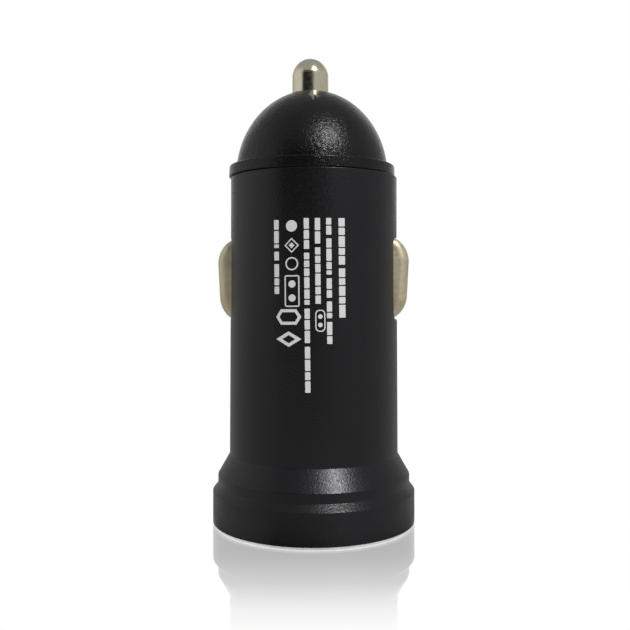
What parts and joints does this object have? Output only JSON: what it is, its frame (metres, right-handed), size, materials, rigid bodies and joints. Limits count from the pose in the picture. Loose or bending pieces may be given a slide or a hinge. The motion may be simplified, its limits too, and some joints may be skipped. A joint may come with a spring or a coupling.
{
  "type": "car usb charger plug",
  "caption": "Black metal plug for a vehicle's 12 V power socket, with a domed nose, a sprung centre pin, sprung side contacts and a USB-A charging port in its wider head.",
  "frame": {"origin": "centre of the head's rim, on the plane the plug stands on", "axes": "+Z along the plug toward the centre pin, +X toward one side contact, -Y toward the printed side"},
  "size_m": [0.0252, 0.025, 0.0578],
  "materials": {
    "black_anodised": "bead-blasted and anodised black, satin; bright cut edge on the rim",
    "cap_plastic": "moulded, fine spark texture",
    "pin_nickel": "nickel plate, turned, slightly rubbed",
    "contact_nickel": "nickel plate with a warm tint, satin",
    "spring_steel": "drawn spring wire",
    "terminal_brass": "bare brass",
    "strap_nickel": "nickel-plated strip",
    "carrier_plastic": "natural moulded plastic",
    "plate_plastic": "moulded, satin",
    "shell_steel": "tin-plated sheet",
    "tongue_plastic": "moulded, matt",
    "contact_gold": "gold flash",
    "board_laminate": "solder resist over laminate",
    "ferrite": "pressed ferrite",
    "capacitor_can": "drawn can",
    "chip_epoxy": "moulded epoxy",
    "fuse_ceramic": "glazed body",
    "resistor_ceramic": "glazed film on ceramic",
    "capacitor_ceramic": "fired ceramic"
  },
  "bodies": {
    "plug": {"housing": "black_anodised", "nose_cap": "cap_plastic", "pin_spring": "spring_steel", "positive_terminal": "terminal_brass", "contact_spring_left": "spring_steel", "contact_spring_right": "spring_steel", "spring_carrier": "carrier_plastic", "ground_strap": "strap_nickel", "face_plate": "plate_plastic", "usb_shell": "shell_steel", "usb_insulator": "tongue_plastic", "usb_contacts": "contact_gold", "main_board": "board_laminate", "power_inductor": "ferrite", "input_capacitor": "capacitor_can", "output_capacitor": "capacitor_can", "converter_chip": "chip_epoxy", "protocol_chip": "chip_epoxy", "rectifier_diode": "chip_epoxy", "chip_fuse": "fuse_ceramic", "chip_resistors": "resistor_ceramic", "chip_capacitors": "capacitor_ceramic"},
    "pin": {"centre_pin": "pin_nickel"},
    "left_contact": {"side_contact_left": "contact_nickel"},
    "right_contact": {"side_contact_right": "contact_nickel"}
  },
  "joints": [
    {"name": "pin_slide", "type": "slide", "parent": "plug", "child": "pin", "axis": [0, 0, -1], "range_m": [0, 0.0035], "stiffness_N_per_m": 900, "springref_m": -0.003, "deforming": ["pin_spring"]},
    {"name": "left_contact_slide", "type": "slide", "parent": "plug", "child": "left_contact", "axis": [1, 0, 0], "range_m": [0, 0.0014], "stiffness_N_per_m": 1500, "springref_m": -0.0015, "deforming": ["contact_spring_left"]},
    {"name": "right_contact_slide", "type": "slide", "parent": "plug", "child": "right_contact", "axis": [-1, 0, 0], "range_m": [0, 0.0014], "stiffness_N_per_m": 1500, "springref_m": -0.0015, "deforming": ["contact_spring_right"]}
  ]
}
